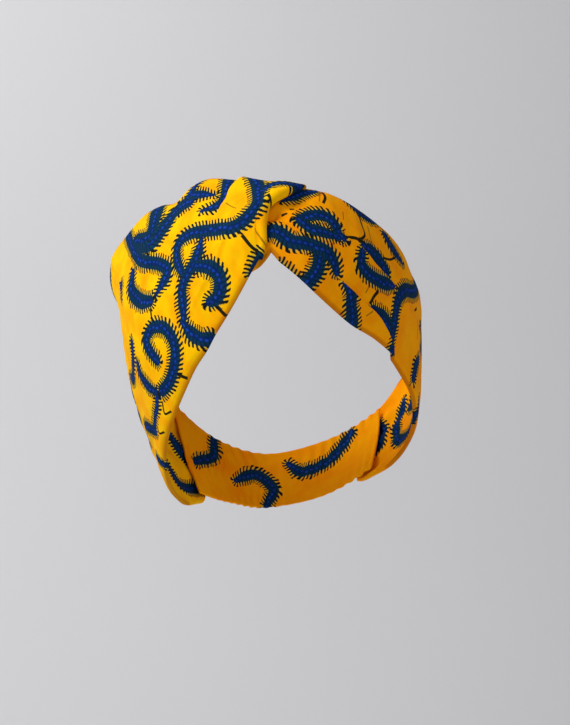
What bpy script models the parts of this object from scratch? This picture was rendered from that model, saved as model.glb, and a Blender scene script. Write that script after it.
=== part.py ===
"""Turban headband in its worn form: two cotton panels crossed at the brow, joined by a band at the nape.

Blender 4.5, metres, +Z up, front of the head towards -Y. Run with: blender --background --python part.py
The cloth lies on a ring around the head. A spot on it is told by its place, from -1 at the nape, round
the wearer's right, to 0 at the brow, and round the wearer's left to 1, and by how far across it is, from
0 at the lower border to 1 at the upper border.
"""
from collections import namedtuple

import bmesh
import bpy
import numpy as np

# Sizes in millimetres
MM = 0.001
RING_LENGTH = 625.0
COTTON_WALL = 2.0
NAPE_WALL = 3.6
NAPE_BAND_WALL = 2.4
SEAM_GAP = 0.5

# Grid of each panel, in steps
PANEL_STEPS_ALONG = 64
PANEL_STEPS_ACROSS = 16
BAND_STEPS_ALONG = 16
BAND_STEPS_ACROSS = 6

# Where the pieces end, as places on the ring
PANEL_END = 0.87
BAND_END = 0.83
NECK_TUCK = 0.12

# Width of the band at the nape, as a share of the ring's width
BAND_SHARE = 0.72

# Colours
COTTON_YELLOW = (0.89, 0.42, 0.012)
COTTON_AMBER = (0.70, 0.36, 0.02)
COTTON_ORANGE = (0.62, 0.27, 0.01)

# The ring: its lower and upper border in millimetres from the middle of the head, and how far the cloth
# bellies out between them
Section = namedtuple("Section", "place lower upper belly")
RING = [
    Section(-1.00, (0, 70, -108), (0, 97, -66), 3),
    Section(-0.92, (-20, 63, -106), (-34, 92, -56), 3),
    Section(-0.84, (-37, 49, -102), (-60, 80, -33), 3),
    Section(-0.75, (-51, 22, -92), (-78, 60, 1), 6),
    Section(-0.65, (-56, -10, -77), (-89, 37, 27), 4),
    Section(-0.55, (-55, -36, -59), (-89, 14, 45), 5),
    Section(-0.45, (-50, -54, -43), (-79, -3, 58), 10),
    Section(-0.35, (-42, -68, -25), (-65, -20, 70), 11),
    Section(-0.30, (-37, -73, -15), (-57, -27, 73), 11),
    Section(-0.25, (-31, -78, -6), (-49, -34, 74), 10),
    Section(-0.20, (-26, -82, 3), (-41, -41, 81), 10),
    Section(-0.15, (-20, -85, 12), (-32, -47, 85), 9),
    Section(-0.07, (-10, -88, 27), (-15, -55, 84), 7),
    Section(0.00, (-1, -87, 42), (4, -58, 82), 5),
    Section(0.02, (2, -87, 46), (8, -58, 82), 5),
    Section(0.08, (11, -86, 39), (19, -56, 81), 6),
    Section(0.17, (22, -84, 29), (36, -47, 77), 7),
    Section(0.27, (34, -77, 18), (53, -32, 69), 8),
    Section(0.37, (46, -66, 8), (71, -12, 56), 8),
    Section(0.47, (60, -50, -1), (81, 8, 41), 7),
    Section(0.56, (73, -26, -15), (89, 26, 25), 4),
    Section(0.64, (84, 0, -34), (90, 42, 8), 2),
    Section(0.72, (84, 24, -56), (89, 60, -12), 2),
    Section(0.82, (66, 46, -80), (74, 80, -35), 3),
    Section(0.92, (33, 63, -101), (38, 92, -57), 3),
]

# The folds of each panel: a line of (place, across) spots, its form, its height and half width in
# millimetres, and how much of the height is left at the line's start and end. A lap is a layer that lies
# over the next one: it is highest on the left of its line and falls away at once on the right.
Fold = namedtuple("Fold", "line form height width ends")
RIGHT_FOLDS = [
    Fold([(-0.05, 1.05), (-0.08, 0.85), (-0.10, 0.70), (-0.13, 0.58)], "lap", 2.6, 14, (1, 0.1)),
    Fold([(-0.09, 0.80), (-0.12, 0.85), (-0.19, 0.93)], "valley", 1.3, 3, (1, 0.2)),
    Fold([(-0.09, 0.76), (-0.13, 0.74), (-0.18, 0.74)], "valley", 1.2, 3, (1, 0)),
    Fold([(-0.05, 0.50), (-0.10, 0.40), (-0.12, 0.30), (-0.19, 0.21), (-0.26, 0.18)], "ridge", 1.6, 6, (0.3, 0)),
    Fold([(-0.13, 0.55), (-0.20, 0.60), (-0.28, 0.60), (-0.45, 0.50)], "valley", 2.4, 10, (0.2, 0.3)),
    Fold([(-0.55, 1.05), (-0.49, 0.80), (-0.46, 0.62)], "lap", 1.8, 12, (0.4, 0.1)),
    Fold([(-0.50, 0.65), (-0.57, 0.75), (-0.64, 0.85), (-0.74, 1.00)], "valley", 6, 11, (0.2, 1)),
    Fold([(-0.44, 0.15), (-0.55, 0.10), (-0.65, 0.15), (-0.80, 0.20)], "valley", 1.6, 4, (0.1, 0.8)),
    Fold([(-0.02, 0.30), (-0.08, 0.22), (-0.16, 0.12)], "valley", 1, 6, (0.4, 0)),
]
LEFT_FOLDS = [
    Fold([(-0.05, 0.45), (0.035, 0.44), (0.06, 0.60), (0.10, 0.80), (0.14, 0.97)], "valley", 2.2, 3, (1, 0.3)),
    Fold([(-0.05, 0.40), (0.035, 0.40), (0.08, 0.45)], "valley", 2, 2.4, (1, 0)),
    Fold([(-0.05, 0.36), (0.04, 0.38), (0.09, 0.39), (0.12, 0.33)], "valley", 1.6, 2.6, (1, 0)),
    Fold([(0.44, 0.50), (0.40, 0.50), (0.33, 0.50), (0.28, 0.53), (0.21, 0.55)], "lap", 1.8, 14, (0.2, 0.2)),
    Fold([(0.55, -0.04), (0.50, 0.05), (0.43, 0.13), (0.37, 0.16), (0.27, 0.18)], "lap", 2.4, 12, (0.9, 0.1)),
    Fold([(0.48, 0.55), (0.56, 0.58), (0.63, 0.45), (0.68, 0.20)], "valley", 1.6, 4, (0.1, 0.8)),
    Fold([(0.30, 0.80), (0.40, 0.76), (0.52, 0.80)], "ridge", 1.4, 6, (0.1, 0.1)),
]


def smooth(low, high, value):
    """Rise from 0 at low to 1 at high, level at both ends."""
    part = np.clip((value - low) / (high - low), 0, 1)
    return part * part * (3 - 2 * part)


# The ring's surface
def ring_at(place):
    """Lower border, upper border and belly at each place, by a closed cubic through the sections."""
    place = np.mod(place + 1, 2) - 1
    rows = np.array([(s.place, *s.lower, *s.upper, s.belly) for s in RING], float)
    knots = np.concatenate([rows[-2:, 0] - 2, rows[:, 0], rows[:2, 0] + 2])
    values = np.concatenate([rows[-2:, 1:], rows[:, 1:], rows[:2, 1:]])
    steps = np.diff(knots)[:, None]
    slopes = np.diff(values, axis=0) / steps
    tangents = (slopes[:-1] * steps[1:] + slopes[1:] * steps[:-1]) / (steps[:-1] + steps[1:])
    at = np.clip(np.searchsorted(knots, place, side="right") - 1, 1, len(knots) - 3)
    step = steps[at]
    s = (place - knots[at])[..., None] / step
    return (
        (1 + 2 * s) * (1 - s) ** 2 * values[at]
        + s * (1 - s) ** 2 * step * tangents[at - 1]
        + s * s * (3 - 2 * s) * values[at + 1]
        + s * s * (s - 1) * step * tangents[at]
    )


def straight_point(place, across):
    """Point on the straight line between the two borders."""
    ring = ring_at(place)
    share = across[..., None]
    return ring[..., :3] * (1 - share) + ring[..., 3:6] * share


def outward(place, across):
    """Unit vector away from the head."""
    nudge = 1e-3
    along = straight_point(place + nudge, across) - straight_point(place - nudge, across)
    up = straight_point(place, across + nudge) - straight_point(place, across - nudge)
    normal = np.cross(along, up)
    return normal / np.linalg.norm(normal, axis=-1, keepdims=True)


def ring_point(place, across, lift):
    """Point on the bellied ring, lifted off it."""
    belly = ring_at(place)[..., 6] * 4 * across * (1 - across)
    return straight_point(place, across) + outward(place, across) * (belly + lift)[..., None]


# Folds
def flat_spot(place, across):
    """Millimetres along and across the flat cloth."""
    ring = ring_at(place)
    width = np.linalg.norm(ring[..., 3:6] - ring[..., :3], axis=-1)
    return np.stack([place * RING_LENGTH / 2, (across - 0.5) * width], axis=-1)


def curve_through(points, steps=10):
    """Points along a smooth curve through a few given ones."""
    points = np.asarray(points, float)
    ends = np.vstack([2 * points[0] - points[1], points, 2 * points[-1] - points[-2]])
    s = np.linspace(0, 1, steps, endpoint=False)[:, None]
    pieces = []
    for a, b, c, d in zip(ends, ends[1:], ends[2:], ends[3:]):
        cubic = (3 * b - 3 * c + d - a) * s ** 3 + (2 * a - 5 * b + 4 * c - d) * s ** 2 + (c - a) * s
        pieces.append(b + cubic / 2)
    return np.vstack(pieces + [points[-1:]])


def beside_line(spots, line):
    """Distance to the left of a line, and how far along the line, from 0 to 1."""
    best = np.full(spots.shape[:-1], np.inf)
    side = np.zeros_like(best)
    along = np.zeros_like(best)
    for count, (start, end) in enumerate(zip(line, line[1:])):
        way = end - start
        share = np.clip(((spots - start) @ way) / (way @ way), 0, 1)
        off = spots - start - share[..., None] * way
        far = np.hypot(off[..., 0], off[..., 1])
        nearer = far < best
        best = np.where(nearer, far, best)
        side = np.where(nearer, way[0] * off[..., 1] - way[1] * off[..., 0], side)
        along = np.where(nearer, (count + share) / (len(line) - 1), along)
    return best * np.where(side < 0, -1, 1), along


def fold_height(fold, spots):
    """Height that one fold adds."""
    line = curve_through(flat_spot(*np.array(fold.line, float).T))
    side, along = beside_line(spots, line)
    start, end = fold.ends
    height = fold.height * (start + (end - start) * along)
    if fold.form == "lap":
        return height * np.exp(-np.maximum(side, 0) / fold.width) * smooth(-1.0, 1.0, side)
    bump = height * np.exp(-(side / fold.width) ** 2)
    return bump if fold.form == "ridge" else -bump


def folds_lift(folds, place, across):
    """Height of all the folds of a panel together."""
    spots = flat_spot(place, across)
    return sum(fold_height(fold, spots) for fold in folds)


# The crossing at the brow
def crossing_edge(across):
    """Place of the right panel's end, where the left panel comes out from under it."""
    lower_corner = 0.02 * np.exp(-across / 0.03)
    upward = np.maximum(0, (across - 0.45) / 0.55)
    return 0.021 - lower_corner + 0.068 * upward ** 1.3 + 0.025 * upward ** 8


def right_lift(place, across):
    """Lift of the right panel: up over the left panel's neck, then rolled down at its edge."""
    to_edge = (crossing_edge(across) - place) * RING_LENGTH / 2
    middle = 4 * across * (1 - across)
    over = (2.1 - 0.7 * across + 4.1 * middle) * (1 - smooth(12, 60, to_edge))
    rolled = (0.5 + 2.4 * middle) * np.clip(1 - to_edge / 9, 0, 1) ** 2
    return over - rolled + folds_lift(RIGHT_FOLDS, place, across) + nape_gathers(place, across)


def left_lift(place, across):
    """Lift of the left panel: down towards the head where the right panel covers it."""
    past_edge = (place - crossing_edge(across)) * RING_LENGTH / 2
    under = -1.6 * (1 - smooth(0, 55 - 35 * np.clip(across, 0, 1), past_edge))
    folds = folds_lift(LEFT_FOLDS, place, across)
    covered = smooth(-6, 2, past_edge)
    return under + folds * covered + nape_gathers(place, across)


def drawn_in(place):
    """Share of the ring's width that a panel keeps where it is gathered onto the band at the nape."""
    return 1 - 0.24 * smooth(0.76, PANEL_END, np.abs(place))


def nape_gathers(place, across):
    """Ripples along the cloth where it is drawn in towards the nape."""
    gathered = smooth(0.66, PANEL_END, np.abs(place))
    return 0.9 * gathered * np.cos(2 * np.pi * (4.5 * across + 0.15))


def band_lift(place, across):
    """The band at the nape lies inside the panels' ends."""
    return np.full(np.shape(place), -(NAPE_WALL / 2 + 0.9 + SEAM_GAP + NAPE_BAND_WALL / 2))


# Walls
def panel_wall(place):
    """Wall of a panel: two cotton layers, drawn together thicker towards the nape."""
    return COTTON_WALL + (NAPE_WALL - COTTON_WALL) * smooth(0.6, PANEL_END, np.abs(place))


def cloth_rings(place, across, lift, wall):
    """Outer face, upper border, inner face and lower border of a cloth grid, as one row for each step."""
    out = outward(place, across) * wall[..., None] / 2
    middle = ring_point(place, across, lift)
    up = middle[:, -1:] - middle[:, -2:-1]
    down = middle[:, :1] - middle[:, 1:2]
    up *= wall[:, -1:, None] / 2 / np.linalg.norm(up, axis=-1, keepdims=True)
    down *= wall[:, :1, None] / 2 / np.linalg.norm(down, axis=-1, keepdims=True)
    upper_round = middle[:, -1:] + up
    lower_round = middle[:, :1] + down
    return np.concatenate([middle + out, upper_round, (middle - out)[:, ::-1], lower_round], axis=1)


def closed_tube(name, rings, steps_across):
    """Mesh object from rings of points, with flat strips closing its two ends."""
    rows, columns = rings.shape[:2]
    mesh = bpy.data.meshes.new(name)
    build = bmesh.new()
    grid = [[build.verts.new(point) for point in row] for row in rings * MM]
    for row, next_row in zip(grid, grid[1:]):
        for column in range(columns):
            beside = (column + 1) % columns
            build.faces.new((row[column], next_row[column], next_row[beside], row[beside]))
    for row, flip in ((grid[0], False), (grid[-1], True)):
        for column in range(steps_across):
            inner = 2 * steps_across + 2 - column
            corners = [row[column], row[column + 1], row[inner - 1], row[inner]]
            build.faces.new(corners[::-1] if flip else corners)
        upper = [row[steps_across], row[steps_across + 1], row[steps_across + 2]]
        lower = [row[columns - 2], row[columns - 1], row[0]]
        for corners in (upper, lower):
            build.faces.new(corners[::-1] if flip else corners)
    bmesh.ops.triangulate(build, faces=build.faces[:])
    bmesh.ops.recalc_face_normals(build, faces=build.faces[:])
    build.to_mesh(mesh)
    build.free()
    part = bpy.data.objects.new(name, mesh)
    bpy.context.collection.objects.link(part)
    return part


# Pieces
def right_panel():
    """Panel on the wearer's right, which passes over at the brow."""
    u, share = np.meshgrid(*grid_shares(PANEL_STEPS_ALONG, PANEL_STEPS_ACROSS), indexing="ij")
    place = -PANEL_END + (crossing_edge(share) + PANEL_END) * u
    across = 0.5 + (share - 0.5) * drawn_in(place)
    rings = cloth_rings(place, across, right_lift(place, across), panel_wall(place))
    return closed_tube("right_panel", rings, PANEL_STEPS_ACROSS)


def left_panel():
    """Panel on the wearer's left, whose neck is drawn in and passes under at the brow."""
    u, share = np.meshgrid(*grid_shares(PANEL_STEPS_ALONG, PANEL_STEPS_ACROSS), indexing="ij")
    start = crossing_edge(share) - NECK_TUCK
    place = start + (PANEL_END - start) * u
    hidden = 1 - smooth(-NECK_TUCK, 0, place - crossing_edge(share))
    across = 0.5 + (share - 0.5) * (1 - 0.3 * hidden) * drawn_in(place)
    rings = cloth_rings(place, across, left_lift(place, across), panel_wall(place))
    return closed_tube("left_panel", rings, PANEL_STEPS_ACROSS)


def nape_band():
    """Plain band that joins the two panels behind the head."""
    u, share = np.meshgrid(*grid_shares(BAND_STEPS_ALONG, BAND_STEPS_ACROSS), indexing="ij")
    place = BAND_END + (2 - 2 * BAND_END) * u
    across = 0.5 + (share - 0.5) * BAND_SHARE
    wall = np.full(place.shape, NAPE_BAND_WALL)
    rings = cloth_rings(place, across, band_lift(place, across), wall)
    return closed_tube("nape_band", rings, BAND_STEPS_ACROSS)


def grid_shares(along, across):
    """Even steps from 0 to 1 both ways."""
    return np.linspace(0, 1, along + 1), np.linspace(0, 1, across + 1)


def cloth_material(name, colour):
    """Matt cotton."""
    material = bpy.data.materials.new(name)
    material.use_nodes = True
    shader = material.node_tree.nodes["Principled BSDF"]
    shader.inputs["Base Color"].default_value = (*colour, 1)
    shader.inputs["Roughness"].default_value = 0.85
    shader.inputs["Metallic"].default_value = 0.0
    return material


def main():
    for old in list(bpy.data.objects):
        bpy.data.objects.remove(old, do_unlink=True)
    yellow = cloth_material("printed_cotton_right", COTTON_YELLOW)
    amber = cloth_material("printed_cotton_left", COTTON_AMBER)
    orange = cloth_material("printed_cotton_nape", COTTON_ORANGE)
    for make, material in ((right_panel, yellow), (left_panel, amber), (nape_band, orange)):
        make().data.materials.append(material)


main()
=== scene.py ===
"""Looks of a turban headband in its worn form: wax-print cotton, crossed at the brow, gathered to the nape.

Blender 4.5, metres, +Z up, front of the head towards -Y. A spot on the cloth is told by its place on the
ring, from -1 at the nape, round the wearer's right, to 0 at the brow, and round the wearer's left to 1,
and by how far across it is, from 0 at the lower border to 1 at the upper border. Sizes are in millimetres
and become metres where a mesh is made.
"""
from collections import namedtuple

import bpy
import numpy as np
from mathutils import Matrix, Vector

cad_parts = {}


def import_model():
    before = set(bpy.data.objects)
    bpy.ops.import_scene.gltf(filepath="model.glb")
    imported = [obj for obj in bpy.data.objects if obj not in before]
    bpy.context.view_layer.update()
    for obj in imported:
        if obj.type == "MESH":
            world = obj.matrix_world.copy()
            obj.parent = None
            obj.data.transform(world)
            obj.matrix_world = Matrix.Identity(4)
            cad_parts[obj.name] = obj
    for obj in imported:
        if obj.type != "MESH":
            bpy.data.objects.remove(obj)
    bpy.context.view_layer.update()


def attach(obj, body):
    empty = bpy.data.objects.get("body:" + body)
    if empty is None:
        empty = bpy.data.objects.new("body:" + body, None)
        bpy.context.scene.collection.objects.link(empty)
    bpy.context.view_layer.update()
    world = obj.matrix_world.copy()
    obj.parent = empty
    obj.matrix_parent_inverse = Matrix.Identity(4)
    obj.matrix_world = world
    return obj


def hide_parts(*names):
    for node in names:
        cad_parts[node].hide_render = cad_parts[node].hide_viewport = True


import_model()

# Sizes in millimetres
MM = 0.001
RING_LENGTH = 625.0
HALF_RING = RING_LENGTH / 2
COTTON_WALL = 1.6
NAPE_WALL = 3.6
NAPE_BAND_WALL = 2.4
SEAM_GAP = 0.5

# Grid of each piece, in steps, and the steps of its rounded rim, as shares of half the wall
PANEL_STEPS_ALONG = 310
PANEL_STEPS_ACROSS = 122
BAND_STEPS_ALONG = 220
BAND_STEPS_ACROSS = 60
CURL_STEPS = 12
RIM_STEPS = (1.0, 0.94, 0.78, 0.53, 0.26)

# The right panel's end at the crossing, which is turned under in a curl
CURL_TURN = np.radians(150)
CURL_RADIUS = 0.9
CURL_SPREAD = 1.7

# The hem: how far and over what width both borders roll away, and the width of the painted shade along their
# rim
HEM_DROP = 1.0
HEM_WIDTH = 3.2
RIM_SHADE = 0.6

# The crossing's edge, in places on the ring: where it is, how far and over what share of the width its lower
# corner is drawn back, and from what share up and how far its upper part and tip lean over
EDGE_PLACE = 0.021
CORNER_BACK = 0.02
CORNER_SHARE = 0.03
LEAN_START = 0.45
LEAN = 0.068
LEAN_BEND = 1.3
TIP_LEAN = 0.006
TIP_BEND = 8

# The right panel's rise over the left one's neck: at the lower border, how much less at the upper one, how
# much more in the middle, and how far from the edge it is still full and then gone
OVER_HEIGHT = 2.1
OVER_SLOPE = 0.7
OVER_BULGE = 4.1
OVER_ENDS = (12, 60)

# The left panel's drop under it, how far past the edge that is gone at the lower border and how much sooner
# at the upper one, between what distances past the edge its folds set in, and how much its neck is drawn in
UNDER_DEPTH = 1.6
UNDER_REACH = 55
UNDER_SLOPE = 35
FOLDS_START = (-6, 2)
NECK_DRAWN_IN = 0.3

# Towards the nape: how much a panel is drawn in and from where, how much its end is rounded, its pleats,
# counted over the ring's width, and from where its wall thickens
DRAWN_IN = 0.24
DRAWN_START = 0.76
ROUNDED_IN = 0.22
PLEAT_HEIGHT = 0.9
PLEAT_START = 0.66
PLEATS = 4.5
PLEAT_PHASE = 0.15
THICKER_START = 0.6

# How far a lap hangs over what lies beside it
LAP_OVERHANG = 2.4

# Where the pieces end, as places on the ring
PANEL_END = 0.87
BAND_END = 0.83
NECK_TUCK = 0.12
ROUND_START = 0.835

# Width of the band at the nape, as a share of the ring's width
BAND_SHARE = 0.72

# The ring: its lower and upper border in millimetres from the middle of the head, and how far the cloth
# bellies out between them
Section = namedtuple("Section", "place lower upper belly")
RING = [
    Section(-1.00, (0, 70, -108), (0, 97, -66), 3),
    Section(-0.92, (-20, 63, -106), (-34, 92, -56), 3),
    Section(-0.84, (-37, 49, -102), (-60, 80, -33), 3),
    Section(-0.75, (-51, 22, -92), (-78, 60, 1), 6),
    Section(-0.65, (-56, -10, -77), (-89, 37, 27), 4),
    Section(-0.55, (-55, -36, -59), (-89, 14, 45), 5),
    Section(-0.45, (-50, -54, -43), (-79, -3, 58), 10),
    Section(-0.35, (-42, -68, -25), (-65, -20, 70), 11),
    Section(-0.30, (-37, -73, -15), (-57, -27, 73), 11),
    Section(-0.25, (-31, -78, -6), (-49, -34, 74), 10),
    Section(-0.20, (-26, -82, 3), (-41, -41, 81), 10),
    Section(-0.15, (-20, -85, 12), (-32, -47, 85), 9),
    Section(-0.07, (-10, -88, 27), (-15, -55, 84), 7),
    Section(0.00, (-1, -87, 42), (4, -58, 82), 5),
    Section(0.02, (2, -87, 46), (8, -58, 82), 5),
    Section(0.08, (11, -86, 39), (19, -56, 81), 6),
    Section(0.17, (22, -84, 29), (36, -47, 77), 7),
    Section(0.27, (34, -77, 18), (53, -32, 69), 8),
    Section(0.37, (46, -66, 8), (71, -12, 56), 8),
    Section(0.47, (60, -50, -1), (81, 8, 41), 7),
    Section(0.56, (73, -26, -15), (89, 26, 25), 4),
    Section(0.64, (84, 0, -34), (90, 42, 8), 2),
    Section(0.72, (84, 24, -56), (89, 60, -12), 2),
    Section(0.82, (66, 46, -80), (74, 80, -35), 3),
    Section(0.92, (33, 63, -101), (38, 92, -57), 3),
]

# The folds of each panel: a line of (place, across) spots, its form, its height and half width in
# millimetres, and how much of the height is left at the line's start and end. A lap is a layer that lies
# over the next one: it is highest on the left of its line and falls away at once on the right.
Fold = namedtuple("Fold", "line form height width ends")
RIGHT_FOLDS = [
    Fold([(-0.05, 1.05), (-0.08, 0.85), (-0.10, 0.70), (-0.13, 0.58)], "lap", 2.6, 14, (1, 0.1)),
    Fold([(-0.09, 0.80), (-0.12, 0.85), (-0.19, 0.93)], "valley", 1.3, 3, (1, 0.2)),
    Fold([(-0.09, 0.76), (-0.13, 0.74), (-0.18, 0.74)], "valley", 1.2, 3, (1, 0)),
    Fold([(-0.05, 0.50), (-0.10, 0.40), (-0.12, 0.30), (-0.19, 0.21), (-0.26, 0.18)], "ridge", 1.6, 6,
         (0.3, 0)),
    Fold([(-0.13, 0.55), (-0.20, 0.60), (-0.28, 0.60), (-0.45, 0.50)], "valley", 2.4, 10, (0.2, 0.3)),
    Fold([(-0.55, 1.05), (-0.49, 0.80), (-0.46, 0.62)], "lap", 1.8, 12, (0.4, 0.1)),
    Fold([(-0.50, 0.65), (-0.57, 0.75), (-0.64, 0.85), (-0.74, 1.00)], "valley", 6, 11, (0.2, 1)),
    Fold([(-0.44, 0.15), (-0.55, 0.10), (-0.65, 0.15), (-0.80, 0.20)], "valley", 1.6, 4, (0.1, 0.8)),
    Fold([(-0.02, 0.30), (-0.08, 0.22), (-0.16, 0.12)], "valley", 1, 6, (0.4, 0)),
]
LEFT_FOLDS = [
    Fold([(-0.05, 0.45), (0.035, 0.44), (0.06, 0.60), (0.10, 0.80), (0.14, 0.97)], "valley", 2.2, 3,
         (1, 0.3)),
    Fold([(-0.05, 0.40), (0.035, 0.40), (0.08, 0.45)], "valley", 2, 2.4, (1, 0)),
    Fold([(-0.05, 0.36), (0.04, 0.38), (0.09, 0.39), (0.12, 0.33)], "valley", 1.6, 2.6, (1, 0)),
    Fold([(0.44, 0.50), (0.40, 0.50), (0.33, 0.50), (0.28, 0.53), (0.21, 0.55)], "lap", 1.8, 14, (0.2, 0.2)),
    Fold([(0.55, -0.04), (0.50, 0.05), (0.43, 0.13), (0.37, 0.16), (0.27, 0.18)], "lap", 2.4, 12,
         (0.9, 0.1)),
    Fold([(0.48, 0.55), (0.56, 0.58), (0.63, 0.45), (0.68, 0.20)], "valley", 1.6, 4, (0.1, 0.8)),
    Fold([(0.30, 0.80), (0.40, 0.76), (0.52, 0.80)], "ridge", 1.4, 6, (0.1, 0.1)),
]

# Sharper creases and lap edges, a millimetre high at most, in the same form as the folds
RIGHT_CREASES = [
    Fold([(-0.09, 0.40), (-0.11, 0.32), (-0.13, 0.27), (-0.17, 0.22)], "ridge", 1, 2.2, (1, 0.4)),
    Fold([(-0.16, 0.26), (-0.19, 0.22), (-0.23, 0.20)], "ridge", 1, 2, (1, 0.4)),
    Fold([(-0.53, 0.92), (-0.49, 0.80), (-0.46, 0.62), (-0.44, 0.52)], "valley", 0.8, 1.2, (0.8, 0.2)),
    Fold([(-0.07, 0.92), (-0.09, 0.78), (-0.11, 0.65)], "valley", 0.7, 1.2, (0.8, 0.2)),
    Fold([(-0.29, 0.70), (-0.34, 0.60), (-0.39, 0.58)], "valley", 1, 5, (1, 0.4)),
    Fold([(-0.05, 0.62), (-0.08, 0.60), (-0.12, 0.66)], "valley", 0.9, 4, (0.6, 1)),
    Fold([(-0.06, 0.16), (-0.12, 0.05), (-0.20, 0.06)], "valley", 0.8, 5, (1, 0.3)),
]
LEFT_CREASES = [
    Fold([(0.44, 0.50), (0.40, 0.50), (0.33, 0.50), (0.28, 0.53), (0.21, 0.55)], "lap", 0.9, 7, (0.9, 0.6)),
    Fold([(0.50, 0.05), (0.43, 0.13), (0.37, 0.16), (0.27, 0.18)], "lap", 0.9, 7, (0.8, 0.8)),
    Fold([(0.40, 0.53), (0.33, 0.53), (0.28, 0.56)], "valley", 0.9, 1.1, (0.8, 0.8)),
    Fold([(0.48, 0.10), (0.43, 0.15), (0.37, 0.18), (0.28, 0.20)], "valley", 0.9, 1.1, (0.9, 0.7)),
    Fold([(0.04, 0.40), (0.08, 0.70), (0.13, 0.97)], "ridge", 0.9, 1.8, (1, 0.4)),
    Fold([(0.03, 0.08), (0.07, 0.10), (0.11, 0.12)], "valley", 0.8, 3, (1, 0.2)),
]

# The waves that crumple the cloth a little: wavelength, direction in degrees from along the ring, height
# and phase
Wave = namedtuple("Wave", "length direction height phase")
CRUMPLE = [
    Wave(61, 38, 0.42, 0.3),
    Wave(43, 64, 0.32, 1.9),
    Wave(29, 22, 0.20, 4.1),
    Wave(23, 81, 0.17, 0.8),
    Wave(17, 47, 0.12, 2.6),
    Wave(12, 12, 0.07, 5.2),
    Wave(9, 70, 0.05, 3.3),
]

# The print: feathered scrolls, each a smooth line through a few (place, across) spots. Half is half its
# width in millimetres, tips how much of that is left at its two ends. A scroll with a tuck is seen only on
# one side of that lap: 1 on the layer above, -1 on the one below.
Scroll = namedtuple("Scroll", "line half tips tuck", defaults=[None])
RIGHT_SCROLLS = [
    Scroll([(-0.035, 1.04), (-0.02, 0.75), (-0.01, 0.50), (-0.05, 0.41), (-0.11, 0.50), (-0.18, 0.60),
            (-0.22, 0.61), (-0.23, 0.53), (-0.22, 0.43)], 2.8, (1.2, 0.7)),
    Scroll([(-0.01, 0.76), (0.01, 0.83), (0.03, 0.86), (0.055, 0.87), (0.08, 0.94)], 2.6, (0.8, 0.6)),
    Scroll([(-0.087, 1.03), (-0.09, 0.86), (-0.10, 0.75), (-0.12, 0.72), (-0.15, 0.72)], 2.4, (1.2, 0.2),
           ("brow_lap", -1)),
    Scroll([(-0.18, 0.91), (-0.15, 0.86), (-0.12, 0.83)], 2.2, (0.9, 0.1)),
    Scroll([(-0.165, 1.01), (-0.185, 0.95), (-0.20, 0.90)], 1.8, (0.9, 0.6)),
    Scroll([(-0.185, 0.85), (-0.21, 0.87), (-0.235, 0.90), (-0.26, 0.85), (-0.285, 0.80), (-0.32, 0.76),
            (-0.35, 0.79), (-0.38, 0.82)], 4.4, (0.7, 0.9)),
    Scroll([(-0.31, 1.03), (-0.31, 0.90), (-0.325, 0.82), (-0.35, 0.82), (-0.38, 0.86)], 4.2, (1, 0.9)),
    Scroll([(-0.44, 1.03), (-0.40, 0.86), (-0.37, 0.74), (-0.34, 0.67), (-0.30, 0.60), (-0.275, 0.53),
            (-0.29, 0.48), (-0.32, 0.44)], 2.8, (0.9, 0.15)),
    Scroll([(-0.40, 0.70), (-0.41, 0.63), (-0.40, 0.57), (-0.375, 0.50), (-0.345, 0.45)], 3.4, (0.7, 0.7)),
    Scroll([(-0.465, 0.75), (-0.47, 0.68)], 1.6, (0.8, 0.6)),
    Scroll([(-0.155, 0.52), (-0.17, 0.43), (-0.205, 0.37), (-0.235, 0.34), (-0.25, 0.28), (-0.265, 0.21)],
           2.7, (0.1, 0.4)),
    Scroll([(-0.175, 0.36), (-0.145, 0.29), (-0.125, 0.20), (-0.13, 0.13), (-0.15, 0.10), (-0.17, 0.12)],
           3.2, (0.8, 0.7)),
    Scroll([(-0.27, 0.20), (-0.265, 0.15), (-0.255, 0.09), (-0.24, 0.04), (-0.22, 0)], 3, (0.3, 1)),
    Scroll([(-0.385, 0.20), (-0.395, 0.27), (-0.395, 0.33), (-0.36, 0.33), (-0.325, 0.26), (-0.315, 0.17),
            (-0.33, 0.11), (-0.36, 0.08), (-0.39, 0.08), (-0.42, 0.10)], 2.7, (0.8, 0.9)),
    Scroll([(-0.475, 0.33), (-0.48, 0.28), (-0.465, 0.20), (-0.445, 0.14)], 2.6, (0.7, 0.6)),
    Scroll([(-0.45, 0.12), (-0.475, 0.10), (-0.50, 0.10), (-0.54, 0.10)], 1.2, (0.9, 1.2)),
    Scroll([(-0.615, 0.22), (-0.59, 0.18), (-0.565, 0.12), (-0.545, 0.08)], 2.6, (0.6, 0.7)),
    Scroll([(0.01, -0.05), (-0.035, -0.05)], 1.8, (1, 0.8)),
    Scroll([(-0.63, 0.08), (-0.61, 0.03), (-0.60, -0.04)], 2.4, (0.8, 1)),
    Scroll([(-0.47, 0.44), (-0.52, 0.38), (-0.57, 0.40), (-0.60, 0.46)], 2.6, (0.6, 0.5)),
    Scroll([(-0.56, 1.02), (-0.59, 0.88), (-0.63, 0.84), (-0.68, 1.02)], 3, (1, 0.9)),
    Scroll([(-0.70, 0.62), (-0.70, 0.76), (-0.74, 0.74), (-0.74, 0.58), (-0.70, 0.42), (-0.64, 0.40),
            (-0.62, 0.48)], 2.9, (0.6, 0.3)),
    Scroll([(-0.66, 0.22), (-0.70, 0.28), (-0.75, 0.24), (-0.79, 0.14), (-0.85, 0.22)], 2.9, (0.4, 0.8)),
    Scroll([(-0.78, 0.97), (-0.79, 0.75), (-0.80, 0.55), (-0.86, 0.42)], 2.9, (1, 0.7)),
]
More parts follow.
